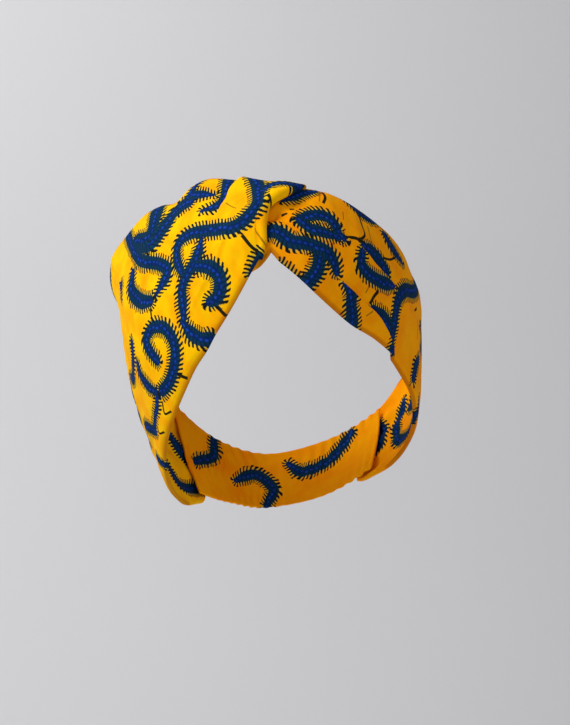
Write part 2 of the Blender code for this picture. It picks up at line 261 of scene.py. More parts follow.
LEFT_SCROLLS = [
    Scroll([(0.085, 0.47), (0.11, 0.57), (0.15, 0.64), (0.18, 0.60), (0.195, 0.53), (0.215, 0.50)], 2.8,
           (0.5, 0.3)),
    Scroll([(0.09, 0.46), (0.12, 0.43), (0.16, 0.46), (0.20, 0.49)], 2.7, (0.8, 0.4)),
    Scroll([(0.035, 0.64), (0.06, 0.77), (0.085, 0.88), (0.12, 0.96)], 2.3, (0.3, 0.4)),
    Scroll([(0.02, 0.20), (0.06, 0.19), (0.09, 0.21), (0.12, 0.26), (0.155, 0.29), (0.19, 0.30),
            (0.215, 0.27), (0.235, 0.22)], 3.1, (1, 0.6)),
    Scroll([(0.165, 0.26), (0.175, 0.19), (0.18, 0.10), (0.17, -0.04)], 3.1, (1, 1)),
    Scroll([(0.275, 0.49), (0.285, 0.40), (0.31, 0.37), (0.345, 0.38), (0.38, 0.43), (0.40, 0.47)], 3,
           (0.6, 0.5), ("upper_lap", 1)),
    Scroll([(0.27, 0.57), (0.31, 0.59), (0.335, 0.57), (0.36, 0.53)], 3.8, (0.2, 1), ("upper_lap", -1)),
    Scroll([(0.52, 1.04), (0.50, 0.82), (0.48, 0.68), (0.45, 0.58), (0.44, 0.46), (0.45, 0.36),
            (0.47, 0.24), (0.49, 0.12), (0.515, 0)], 3.2, (0.8, 0.8)),
    Scroll([(0.39, 0.17), (0.425, 0.16), (0.46, 0.15)], 3.8, (0.4, 1), ("lower_lap", -1)),
    Scroll([(0.275, 0.18), (0.305, 0.14), (0.325, 0.08), (0.35, 0.03), (0.38, -0.03)], 2.9, (0.6, 1),
           ("lower_lap", 1)),
    Scroll([(0.20, 1.04), (0.225, 0.98), (0.25, 0.94), (0.285, 0.95), (0.31, 1.02)], 2.2, (0.8, 0.7)),
    Scroll([(0.335, 0.90), (0.35, 0.85), (0.37, 0.82), (0.40, 0.80)], 3.2, (0.8, 0.4)),
    Scroll([(0.07, -0.06), (0.14, -0.06)], 1.6, (1, 1)),
    Scroll([(0.60, 0.30), (0.60, 0.20), (0.605, 0.10)], 4, (0.6, 0.7)),
    Scroll([(0.66, 0.12), (0.67, 0.02), (0.68, -0.04)], 2.4, (0.7, 1)),
    Scroll([(0.57, 0.60), (0.60, 0.50), (0.635, 0.58), (0.63, 0.74), (0.58, 0.86)], 3, (0.6, 0.8)),
    Scroll([(0.69, 1.02), (0.70, 0.80), (0.69, 0.60), (0.71, 0.44), (0.745, 0.55), (0.735, 0.70)], 2.9,
           (0.9, 0.3)),
    Scroll([(0.70, 0.20), (0.74, 0.14), (0.78, 0.28), (0.79, 0.50), (0.77, 0.74)], 3, (0.4, 0.3)),
    Scroll([(0.835, 0.74), (0.825, 0.58), (0.835, 0.42), (0.86, 0.32)], 2.7, (0.8, 0.8)),
]
BAND_SCROLLS = [
    Scroll([(0.88, 0.80), (0.91, 0.60), (0.95, 0.55), (0.97, 0.70)], 2.7, (0.8, 0.4)),
    Scroll([(1.00, 0.16), (0.99, 0.38), (1.02, 0.58), (1.06, 0.44)], 2.8, (0.8, 0.4)),
    Scroll([(1.09, 0.84), (1.10, 0.62), (1.15, 0.44)], 2.6, (0.8, 0.8)),
]

# Thin lines of the print: as the scrolls, with half the width in millimetres at the start and end
Vine = namedtuple("Vine", "line halves")
RIGHT_VINES = [
    Vine([(-0.045, 0.30), (-0.015, 0.10), (0.005, -0.02)], (0.9, 0.9)),
    Vine([(0, 0.57), (0.02, 0.56), (0.032, 0.47)], (0.7, 0.7)),
    Vine([(-0.35, 0.42), (-0.36, 0.34)], (0.7, 0.5)),
    Vine([(-0.16, 0.07), (-0.15, -0.01)], (1.0, 0.9)),
    Vine([(-0.44, 0.08), (-0.455, 0.04), (-0.43, 0.01)], (0.6, 0.6)),
    Vine([(-0.52, 0.07), (-0.525, 0.04), (-0.50, 0.01)], (0.6, 0.6)),
    Vine([(-0.35, 0.07), (-0.33, 0)], (1.0, 0.9)),
]
LEFT_VINES = [
    Vine([(0.21, 0.51), (0.24, 0.58), (0.275, 0.60)], (0.8, 1.2)),
    Vine([(0.25, 0.90), (0.26, 0.79), (0.27, 0.69), (0.26, 0.61)], (0.8, 0.8)),
    Vine([(0.14, 1.00), (0.145, 0.90), (0.14, 0.79)], (0.8, 0.8)),
    Vine([(0.13, 0.38), (0.135, 0.29)], (0.9, 0.8)),
    Vine([(0.34, 0.63), (0.36, 0.68), (0.375, 0.76)], (0.8, 0.7)),
    Vine([(0.365, 0.31), (0.365, 0.25), (0.37, 0.19)], (1.1, 0.9)),
    Vine([(0.52, 0.62), (0.515, 0.56)], (0.9, 0.6)),
    Vine([(0.04, 0.44), (0.05, 0.48)], (0.9, 0.5)),
    Vine([(0.055, 0.55), (0.065, 0.58)], (0.8, 0.5)),
]
RIGHT_HAIRS = [
    Vine([(0, 0.23), (0.012, 0.11), (0.02, 0)], (0.4, 0.4)),
    Vine([(-0.085, 0.70), (-0.06, 0.59)], (0.4, 0.3)),
]
LEFT_HAIRS = [
    Vine([(0.132, 0.98), (0.13, 0.80)], (0.4, 0.4)),
    Vine([(0.12, 0.38), (0.12, 0.31)], (0.4, 0.4)),
    Vine([(0.197, 0.80), (0.20, 0.70)], (0.4, 0.4)),
    Vine([(0.28, 0.84), (0.29, 0.74), (0.30, 0.66)], (0.5, 0.4)),
    Vine([(0.335, 0.30), (0.34, 0.23)], (0.5, 0.4)),
    Vine([(0.39, 0.13), (0.385, 0.08)], (0.5, 0.4)),
    Vine([(0.54, 0.53), (0.565, 0.40)], (0.4, 0.4)),
]

# Layers that the scrolls are spread over, a distance past all of the print, and the steps from one spot of
# a line to the next
LAYERS = 4
FAR = 60.0
TRACE_STEPS = 8

# Laps that cut scrolls short
NAMED_LAPS = {
    "brow_lap": (RIGHT_FOLDS, 0),
    "upper_lap": (LEFT_FOLDS, 3),
    "lower_lap": (LEFT_FOLDS, 4),
}

# How the print is drawn: lengths in millimetres, but for the plain factors TUCK_CUT, BRISTLE_SLANT,
# DOT_DIMMEST and the shares
TAPER_LENGTH = 9.0
TUCK_CUT = 4.0
SCROLL_REACH = 15.0
ROOT_WIDTH = 0.75
VINE_REACH = 8.0
BRISTLE_PITCH = 2.15
BRISTLE_LENGTH = 2.7
BRISTLE_VARIES = 1.0
BRISTLE_HALF = 0.55
BRISTLE_SLANT = 0.45
GLOW_WIDTH = 1.3
GLOW_SHARE = 0.5
RIB_SHARE = 0.7
HAIR_SHARE = 0.75
RIM_SHARE = 0.6
DOT_PITCH = 3.3
DOT_LENGTH = 2.1
DOT_WIDTH = 1.4
DOT_STRAYS = 1.5
DOT_MARGIN = 0.9
DOT_DIMMEST = 0.4
ROOT_THICKER = 0.14
TREMBLE = 0.6
RIB_HALF = 0.42
CORE_HALF = 1.35
THREAD_PITCH = 0.42

# Numbers that give each layer's bristles and dots their own chances
BRISTLE_SEED = 57.0
DOT_SEED = 31.0

# The band behind the head
BAND_VISIBLE_WALL = 1.6
GATHER_LENGTH = 5.2
GATHER_HEIGHT = 0.6

# Colours
# Ground colours: the yellow paints the right panel as lit, and the amber and orange paint the left panel and
# the nape as shaded. Amber is also the right panel's patch colour.
LIT_GROUND_YELLOW = (0.95, 0.52, 0, 1)
AMBER_PATCH_AND_SHADED_GROUND = (0.95, 0.36, 0, 1)
SHADED_PATCH_ORANGE = (0.93, 0.27, 0, 1)
PALE_FLECK = (0.97, 0.58, 0.004, 1)
BRISTLE_BLACK = (0.006, 0.010, 0.012, 1)
VINE_BLACK = (0.018, 0.016, 0.006, 1)
HAIR_OLIVE = (0.22, 0.12, 0.004, 1)
GLOW_OLIVE = (0.55, 0.52, 0.05, 1)
# Dark red-brown painted shade along the borders, where the rolled hem lies in shadow
BORDER_PAINTED_SHADE = (0.42, 0.10, 0.004, 1)
BODY_NAVY = (0.002, 0.019, 0.10, 1)
BODY_TEAL = (0.003, 0.05, 0.075, 1)
DOT_BLUE = (0.010, 0.055, 0.42, 1)

# The cotton's surface: how it shines, and its weave's bump, whose depth is in metres
COTTON_ROUGHNESS = 0.85
COTTON_SHINE = 0.04
WEAVE_BUMP = 0.25
WEAVE_DEPTH = 0.00006

# Share of the bake map's height that each face of the cloth takes
BAKE_HALF = 0.48

# Camera and stage, in metres
CAMERA_PLACE = (0.0107, -0.9, -0.0127)
LENS = 79.1
FLOOR_Z = -0.5
STAGE_TOP = 2.2
WALL_Y = 1.3
BEND_RADIUS = 0.6
STAGE_FRONT = -2.5
STAGE_HALF = 3.0
STAGE_GREY = (0.70, 0.70, 0.72, 1)
WORLD_COLOUR = (0.93, 0.95, 1.0, 1)
WORLD_STRENGTH = 0.24

# Soft lights, each a disk of a size in metres that shines from a place towards a target
Light = namedtuple("Light", "name place target size power colour")
LIGHTS = [
    Light("window", (-0.85, -0.75, 0.95), (0, 0, 0), 0.5, 17, (1.0, 0.98, 0.95)),
    Light("room", (0.9, -0.9, 0.25), (0, 0, 0), 1.2, 4, (1.0, 0.98, 0.96)),
    Light("wall_wash", (-1.1, 0.1, 1.0), (-0.35, 1.3, 0.35), 0.9, 12, (1.0, 1.0, 1.0)),
]


def smooth(low, high, value):
    """Rise from 0 at low to 1 at high, level at both ends."""
    part = np.clip((value - low) / (high - low), 0, 1)
    return part * part * (3 - 2 * part)


def unit(vectors):
    """Vectors of length 1."""
    return vectors / np.linalg.norm(vectors, axis=-1, keepdims=True)


# The ring's surface
def ring_at(place):
    """Lower border, upper border and belly at each place, by a closed cubic through the sections."""
    place = np.mod(place + 1, 2) - 1
    rows = np.array([(s.place, *s.lower, *s.upper, s.belly) for s in RING], float)
    knots = np.concatenate([rows[-2:, 0] - 2, rows[:, 0], rows[:2, 0] + 2])
    values = np.concatenate([rows[-2:, 1:], rows[:, 1:], rows[:2, 1:]])
    steps = np.diff(knots)[:, None]
    slopes = np.diff(values, axis=0) / steps
    tangents = (slopes[:-1] * steps[1:] + slopes[1:] * steps[:-1]) / (steps[:-1] + steps[1:])
    at = np.clip(np.searchsorted(knots, place, side="right") - 1, 1, len(knots) - 3)
    step = steps[at]
    s = (place - knots[at])[..., None] / step
    return (
        (1 + 2 * s) * (1 - s) ** 2 * values[at]
        + s * (1 - s) ** 2 * step * tangents[at - 1]
        + s * s * (3 - 2 * s) * values[at + 1]
        + s * s * (s - 1) * step * tangents[at]
    )


def straight_point(place, across):
    """Point on the straight line between the two borders."""
    ring = ring_at(place)
    share = across[..., None]
    return ring[..., :3] * (1 - share) + ring[..., 3:6] * share


def outward(place, across):
    """Unit vector away from the head."""
    nudge = 1e-3
    along = straight_point(place + nudge, across) - straight_point(place - nudge, across)
    up = straight_point(place, across + nudge) - straight_point(place, across - nudge)
    return unit(np.cross(along, up))


def ring_point(place, across, lift):
    """Point on the bellied ring, lifted off it."""
    belly = ring_at(place)[..., 6] * 4 * across * (1 - across)
    return straight_point(place, across) + outward(place, across) * (belly + lift)[..., None]


# Folds
def flat_spot(place, across):
    """Millimetres along and across the flat cloth."""
    return np.stack([place * HALF_RING, (across - 0.5) * width_at(place)], axis=-1)


def curve_through(points, steps=10):
    """Points along a smooth curve through a few given ones."""
    points = np.asarray(points, float)
    ends = np.vstack([2 * points[0] - points[1], points, 2 * points[-1] - points[-2]])
    s = np.linspace(0, 1, steps, endpoint=False)[:, None]
    pieces = []
    for a, b, c, d in zip(ends, ends[1:], ends[2:], ends[3:]):
        cubic = (3 * b - 3 * c + d - a) * s ** 3 + (2 * a - 5 * b + 4 * c - d) * s ** 2 + (c - a) * s
        pieces.append(b + cubic / 2)
    return np.vstack(pieces + [points[-1:]])


def beside_line(spots, line):
    """Distance to the left of a line, how far along the line, from 0 to 1, and the way to the left."""
    best = np.full(spots.shape[:-1], np.inf)
    side = np.zeros_like(best)
    along = np.zeros_like(best)
    left = np.zeros_like(spots)
    for count, (start, end) in enumerate(zip(line, line[1:])):
        way = end - start
        share = np.clip(((spots - start) @ way) / (way @ way), 0, 1)
        off = spots - start - share[..., None] * way
        far = np.hypot(off[..., 0], off[..., 1])
        nearer = far < best
        best = np.where(nearer, far, best)
        side = np.where(nearer, way[0] * off[..., 1] - way[1] * off[..., 0], side)
        along = np.where(nearer, (count + share) / (len(line) - 1), along)
        left = np.where(nearer[..., None], np.array([-way[1], way[0]]) / np.hypot(*way), left)
    return best * np.where(side < 0, -1, 1), along, left


def fold_line(fold):
    """Points along a fold on the flat cloth."""
    return curve_through(flat_spot(*np.array(fold.line, float).T))


def fold_height(fold, spots):
    """Height that one fold adds."""
    side, along = beside_line(spots, fold_line(fold))[:2]
    start, end = fold.ends
    height = fold.height * (start + (end - start) * along)
    if fold.form == "lap":
        return height * np.exp(-np.maximum(side, 0) / fold.width) * smooth(-1.0, 1.0, side)
    bump = height * np.exp(-(side / fold.width) ** 2)
    return bump if fold.form == "ridge" else -bump


def folds_lift(folds, place, across):
    """Height of all the folds of a panel together."""
    spots = flat_spot(place, across)
    return sum(fold_height(fold, spots) for fold in folds)


# The crossing at the brow
def crossing_edge(across):
    """Place of the right panel's end, where the left panel comes out from under it."""
    across = np.clip(across, 0, 1)
    lower_corner = CORNER_BACK * np.exp(-across / CORNER_SHARE)
    upward = np.maximum(0, (across - LEAN_START) / (1 - LEAN_START))
    return EDGE_PLACE - lower_corner + LEAN * upward ** LEAN_BEND + TIP_LEAN * upward ** TIP_BEND


def bulge(across):
    """Rise from 0 at the borders to 1 in the middle."""
    across = np.clip(across, 0, 1)
    return 4 * across * (1 - across)


def right_lift(place, across):
    """Lift of the right panel: up over the left panel's neck."""
    to_edge = (crossing_edge(across) - place) * HALF_RING
    height = OVER_HEIGHT - OVER_SLOPE * np.clip(across, 0, 1) + OVER_BULGE * bulge(across)
    over = height * (1 - smooth(*OVER_ENDS, to_edge))
    folds = folds_lift(RIGHT_FOLDS + RIGHT_CREASES, place, across)
    return over + folds + nape_gathers(place, across)


def left_lift(place, across):
    """Lift of the left panel: down towards the head where the right panel covers it."""
    past_edge = (place - crossing_edge(across)) * HALF_RING
    reach = UNDER_REACH - UNDER_SLOPE * np.clip(across, 0, 1)
    under = -UNDER_DEPTH * (1 - smooth(0, reach, past_edge))
    folds = folds_lift(LEFT_FOLDS + LEFT_CREASES, place, across) * smooth(*FOLDS_START, past_edge)
    return under + folds + nape_gathers(place, across)


def drawn_in(place):
    """Share of the ring's width that a panel keeps where it is gathered onto the band at the nape."""
    rounded_end = np.clip((np.abs(place) - ROUND_START) / (PANEL_END - ROUND_START), 0, 1) ** 2
    return 1 - DRAWN_IN * smooth(DRAWN_START, PANEL_END, np.abs(place)) - ROUNDED_IN * rounded_end


def nape_gathers(place, across):
    """Pleats along the cloth where it is drawn in towards the nape."""
    gathered = smooth(PLEAT_START, PANEL_END, np.abs(place))
    return PLEAT_HEIGHT * gathered * np.cos(2 * np.pi * (PLEATS * across + PLEAT_PHASE))


def border_distance(place, across):
    """Millimetres from the nearer border."""
    return np.clip(np.minimum(across, 1 - across), 0, None) * width_at(place)


def hem_roll(place, across):
    """Drop of the cloth where it rolls away at its borders."""
    return HEM_DROP * np.clip(1 - border_distance(place, across) / HEM_WIDTH, 0, 1) ** 2


def crumple(place, across, calm):
    """Slight waves over the whole cloth."""
    spots = flat_spot(place, across)
    total = np.zeros(place.shape)
    for wave in CRUMPLE:
        angle = np.radians(wave.direction)
        run = spots[..., 0] * np.cos(angle) + spots[..., 1] * np.sin(angle)
        sway = 0.6 * np.sin(spots[..., 1] / 31 + wave.phase)
        total += wave.height * np.sin(2 * np.pi * run / wave.length + wave.phase + sway)
    return total * calm


def panel_wall(place):
    """Wall of a panel: two cotton layers, drawn together thicker towards the nape."""
    return COTTON_WALL + (NAPE_WALL - COTTON_WALL) * smooth(THICKER_START, PANEL_END, np.abs(place))


# Grids
Cloth = namedtuple("Cloth", "outer inner place across")


def rim_shares(steps):
    """Even shares from 0 to 1, and the steps of the rounded rim past both ends, down to -1 and up to 1."""
    past = np.array(RIM_STEPS)
    share = np.concatenate([0 * past, np.linspace(0, 1, steps + 1), 0 * past + 1])
    return share, np.concatenate([-past, np.zeros(steps + 1), past[::-1]])


def width_at(place):
    """Width of the cloth from border to border."""
    ring = ring_at(place)
    return np.linalg.norm(ring[..., 3:6] - ring[..., :3], axis=-1)


def lapped_point(folds, place, across, lift):
    """Point on the lifted ring, where the laps push the cloth over what lies beside them."""
    spots = flat_spot(place, across)
    shift = np.zeros(spots.shape)
    for fold in folds:
        if fold.form != "lap":
            continue
        side, along, left = beside_line(spots, fold_line(fold))
        start, end = fold.ends
        reach = LAP_OVERHANG * (start + (end - start) * along)
        over = reach * smooth(-1.0, 1.6, side) * np.exp(-np.maximum(side, 0) / (fold.width / 2))
        shift -= left * over[..., None]
    place = place + shift[..., 0] / HALF_RING
    across = across + shift[..., 1] / width_at(place)
    return ring_point(place, across, lift)


def wall_faces(middle, normal, wall, past_along, past_across):
    """Outer and inner face of a cloth wall, rounded where it runs out past its ends and borders."""
    rim = np.sqrt((1 - past_along ** 2)[:, None] * (1 - past_across ** 2)[None, :])
    half = normal * (wall / 2 * rim)[..., None]
    return middle + half, middle - half


# Cloth of each piece
def right_cloth():
    """Right panel, whose end at the crossing is turned under in a curl."""
    share, past = rim_shares(PANEL_STEPS_ALONG)
    rims = len(RIM_STEPS)
    curl = np.concatenate([np.zeros(len(share) - rims), np.linspace(0, CURL_TURN, CURL_STEPS + 1)[1:]])
    curl = np.concatenate([curl, np.full(rims, CURL_TURN)])
    share = np.concatenate([share[:-rims], np.ones(CURL_STEPS + rims)])
    past = np.concatenate([past[:-rims], np.zeros(CURL_STEPS), past[-rims:]])
    column_share, column_past = rim_shares(PANEL_STEPS_ACROSS)

    nudge = 1e-3
    edge = crossing_edge(column_share)
    step = crossing_edge(column_share + nudge) - crossing_edge(column_share - nudge)
    slope = step / (2 * nudge) * HALF_RING / width_at(edge)
    radius = CURL_RADIUS + CURL_SPREAD * bulge(column_share)
    last = edge - (radius + COTTON_WALL / 2) * np.minimum(np.hypot(1, slope), 1.8) / HALF_RING
    first = -PANEL_END + NAPE_WALL / 2 / HALF_RING
    place = first + (last - first) * share[:, None]
    wall = panel_wall(place)
    place = place + np.minimum(past, 0)[:, None] * wall / 2 / HALF_RING
    across = 0.5 + (column_share - 0.5) * drawn_in(place) + column_past * wall / 2 / width_at(place)

    calm = bulge(across) ** 0.5
    lift = right_lift(place, across) + crumple(place, across, calm) - hem_roll(place, across)
    middle = lapped_point(RIGHT_FOLDS, place, across, lift)
    normal = outward(place, across)
    row = len(share) - CURL_STEPS - rims - 1
    up = unit(np.gradient(middle[row], axis=0))
    forward = unit(np.cross(up, normal[row]))
    out = np.cross(forward, up)
    sine = np.sin(curl)[:, None, None]
    cosine = np.cos(curl)[:, None, None]
    rolled = forward * sine - out * (1 - cosine)
    tail = (forward * cosine - out * sine) * np.maximum(past, 0)[:, None, None]
    middle = middle + rolled * radius[:, None] + tail * COTTON_WALL / 2
    bent = (curl > 0)[:, None, None]
    normal = np.where(bent, out * cosine + forward * sine, normal)
    outer, inner = wall_faces(middle, normal, wall, past, column_past)
    place = place + (curl[:, None] * radius + np.maximum(past, 0)[:, None]) / HALF_RING
    return Cloth(outer, inner, place, across)


def left_cloth():
    """Left panel, whose neck is drawn in and passes under at the crossing."""
    share, past = rim_shares(PANEL_STEPS_ALONG)
    column_share, column_past = rim_shares(PANEL_STEPS_ACROSS)
    start = crossing_edge(column_share) - NECK_TUCK + COTTON_WALL / 2 / HALF_RING
    end = PANEL_END - NAPE_WALL / 2 / HALF_RING
    place = start + (end - start) * share[:, None]
    wall = panel_wall(place)
    place = place + past[:, None] * wall / 2 / HALF_RING
    hidden = 1 - smooth(-NECK_TUCK, 0, place - crossing_edge(column_share))
    kept = (1 - NECK_DRAWN_IN * hidden) * drawn_in(place)
    across = 0.5 + (column_share - 0.5) * kept + column_past * wall / 2 / width_at(place)

    calm = bulge(across) ** 0.5
    lift = left_lift(place, across) + crumple(place, across, calm) - hem_roll(place, across)
    middle = lapped_point(LEFT_FOLDS, place, across, lift)
    outer, inner = wall_faces(middle, outward(place, across), wall, past, column_past)
    return Cloth(outer, inner, place, across)


def nape_cloth():
    """Band behind the head, drawn up on elastic in small gathers."""
    share, past = rim_shares(BAND_STEPS_ALONG)
    column_share, column_past = rim_shares(BAND_STEPS_ACROSS)
    place = BAND_END + (2 - 2 * BAND_END) * share[:, None] + 0 * column_share
    place = place + past[:, None] * BAND_VISIBLE_WALL / 2 / HALF_RING
    across = 0.5 + (column_share - 0.5) * BAND_SHARE + column_past * BAND_VISIBLE_WALL / 2 / width_at(place)
    inset = NAPE_WALL / 2 + PLEAT_HEIGHT + SEAM_GAP + NAPE_BAND_WALL / 2
    spots = flat_spot(place, across)
    sway = 0.9 * np.sin(spots[..., 1] / 5.1) + 0.7 * np.sin(spots[..., 1] / 2.9 + spots[..., 0] / 11)
    gathers = np.sin(2 * np.pi * spots[..., 0] / GATHER_LENGTH + sway)
    lift = -inset + GATHER_HEIGHT * gathers * (0.55 + 0.45 * np.sin(spots[..., 0] / 9 + spots[..., 1] / 7))
    middle = ring_point(place, across, lift)
    wall = np.full(place.shape, BAND_VISIBLE_WALL)
    outer, inner = wall_faces(middle, outward(place, across), wall, past, column_past)
    return Cloth(outer, inner, place, across)


# The print's lines
def traced(line):
    """Points along a line of spots on the bellied ring, and the ways to its left."""
    place, across = curve_through(line, TRACE_STEPS).T
    points = ring_point(place, across, 0)
    return points, unit(np.cross(outward(place, across), np.gradient(points, axis=0)))


def spread_over_layers(paths):
    """Layer of each scroll: the one whose scrolls so far lie farthest from it."""
    layers = [[] for number in range(LAYERS)]
    chosen = []
    for points in paths:
        gaps = [min((apart(points, other) for other in layer), default=FAR) for layer in layers]
        chosen.append(int(np.argmax(gaps)))
        layers[chosen[-1]].append(points)
    return chosen


def apart(points, others):
    """Least distance between two sets of points."""
    return np.linalg.norm(points[:, None] - others[None, :], axis=-1).min()


def beside_trace(points, trace, lefts):
    """Distance to a traced line, the same signed to the left, the run along it and how far past its ends."""
    best = np.full(len(points), np.inf)
    side = np.zeros(len(points))
    run = np.zeros(len(points))
    past = np.zeros(len(points))
    length = 0.0
    last = len(trace) - 2
    for count, (start, end) in enumerate(zip(trace, trace[1:])):
        step = np.linalg.norm(end - start)
        way = (end - start) / step
        reach = (points - start) @ way
        on = np.clip(reach, 0, step)
        off = points - start - on[:, None] * way
        far = np.linalg.norm(off, axis=1)
        nearer = far < best
        best = np.where(nearer, far, best)
        side = np.where(nearer, off @ (lefts[count] + lefts[count + 1]) / 2, side)
        run = np.where(nearer, length + on, run)
        before = -reach if count == 0 else -FAR
        after = reach - step if count == last else -FAR
        past = np.where(nearer, np.maximum(before, after), past)
        length += step
    return best, side, run, past, length


def near_trace(points, trace, reach):
    """Which points lie within reach of a traced line's middle and so may be near it."""
    middle = (trace.min(axis=0) + trace.max(axis=0)) / 2
    radius = np.linalg.norm(trace - middle, axis=1).max()
    return np.linalg.norm(points - middle, axis=1) < radius + reach


# The print's fields: what the shader needs to draw it, worked out for each spot of the cloth
def tuck_distance(name, place, across):
    """Distance to the left of a named lap."""
    folds, number = NAMED_LAPS[name]
    return beside_line(flat_spot(place, across), fold_line(folds[number]))[0]


def scroll_fields(scrolls, points, place, across):
    """For each layer, the run along the nearest scroll, the distance outside its body, and the distance to
    the left of its middle line."""
    fields = np.zeros((LAYERS, len(points), 3))
    fields[..., 1] = FAR
    traces = [traced(scroll.line) for scroll in scrolls]
    numbers = spread_over_layers([trace for trace, left in traces])
    for scroll, (trace, left), number in zip(scrolls, traces, numbers):
        near = near_trace(points, trace, SCROLL_REACH)
        best, side, run, past, length = beside_trace(points[near], trace, left)
        share = run / length
        taper = smooth(0, TAPER_LENGTH, run)
        end_taper = smooth(0, TAPER_LENGTH, length - run)
        half = scroll.half * (scroll.tips[0] + (1 - scroll.tips[0]) * taper)
        half = np.minimum(half, scroll.half * (scroll.tips[1] + (1 - scroll.tips[1]) * end_taper))
        half = half + ROOT_WIDTH
        outside = best - half
        round_end = np.arctan2(np.maximum(past, 0), np.abs(side)) * (half + 1.2)
        run = np.where(share < 0.5, run - round_end, run + round_end)
        if scroll.tuck:
            name, kept_side = scroll.tuck
            cut = -kept_side * tuck_distance(name, place[near], across[near])
            outside = np.maximum(outside, TUCK_CUT * cut)
        found = np.stack([run, outside, side], axis=-1)
        layer = fields[number]
        nearer = outside < layer[near, 1]
        layer[near] = np.where(nearer[:, None], found, layer[near])
    return fields


def vine_field(vines, points):
    """The signed distance to the nearest vine in halves of its width, the distance outside it, and how far
    past its ends."""
    field = np.full((len(points), 3), FAR)
    for vine in vines:
        trace, left = traced(vine.line)
        near = near_trace(points, trace, VINE_REACH)
        best, side, run, past, length = beside_trace(points[near], trace, left)
        half = vine.halves[0] + (vine.halves[1] - vine.halves[0]) * run / length
        found = np.stack([side / half, best - half, past], axis=-1)
        nearer = best - half < field[near, 1]
        field[near] = np.where(nearer[:, None], found, field[near])
    return field


def print_fields(cloth, scrolls, vines, hairs):
    """All the fields of a piece's print, by name, one row for each spot of its grid."""
    place = cloth.place.ravel()
    across = cloth.across.ravel()
    points = ring_point(place, across, 0)
    layers = scroll_fields(scrolls, points, place, across)
    fields = {f"scrolls_{number}": layer for number, layer in enumerate(layers)}
    fields["vines"] = vine_field(vines, points)
    fields["hairs"] = vine_field(hairs, points)
    fields["cloth"] = np.column_stack([flat_spot(place, across), border_distance(place, across)])
    return fields


# Meshes
def cloth_object(name, cloth, fields):
    """Closed mesh of a cloth wall, whose outer and inner face share the rim."""
    rows, columns = cloth.place.shape
    front = np.arange(rows * columns).reshape(rows, columns)
    back = front.copy()
    hidden = (rows - 2) * (columns - 2)
    back[1:-1, 1:-1] = rows * columns + np.arange(hidden).reshape(rows - 2, columns - 2)
    points = np.concatenate([cloth.outer.reshape(-1, 3), cloth.inner[1:-1, 1:-1].reshape(-1, 3)]) * MM
    quads = np.concatenate([grid_quads(front), grid_quads(back)[:, ::-1]])
    mesh = bpy.data.meshes.new(name)
    mesh.from_pydata(points.tolist(), [], quads.tolist())
    mesh.polygons.foreach_set("use_smooth", np.ones(len(quads), bool))

    spot_of = np.concatenate([front.ravel(), front[1:-1, 1:-1].ravel()])
    for field, values in fields.items():
        layer = mesh.attributes.new(field, "FLOAT_VECTOR", "POINT")
        layer.data.foreach_set("vector", values[spot_of].astype(np.float32).ravel())

    along = np.arange(rows) / (rows - 1)
    across = np.arange(columns) / (columns - 1) * BAKE_HALF
    bake = np.stack(np.meshgrid(along, across, indexing="ij"), axis=-1).reshape(-1, 2)
    outer_corners = grid_quads(front).ravel()
    inner_corners = grid_quads(front)[:, ::-1].ravel()
    corners = np.concatenate([bake[outer_corners], bake[inner_corners] + (0, 1 - BAKE_HALF)])
    uv = mesh.uv_layers.new(name="OFBake")
    uv.data.foreach_set("uv", corners.astype(np.float32).ravel())
    mesh.validate()
    piece = bpy.data.objects.new(name, mesh)
    bpy.context.scene.collection.objects.link(piece)
    return piece


def grid_quads(numbers):
    """Corners of the squares of a grid of vertex numbers."""
    corners = (numbers[:-1, :-1], numbers[1:, :-1], numbers[1:, 1:], numbers[:-1, 1:])
    return np.stack(corners, axis=-1).reshape(-1, 4)


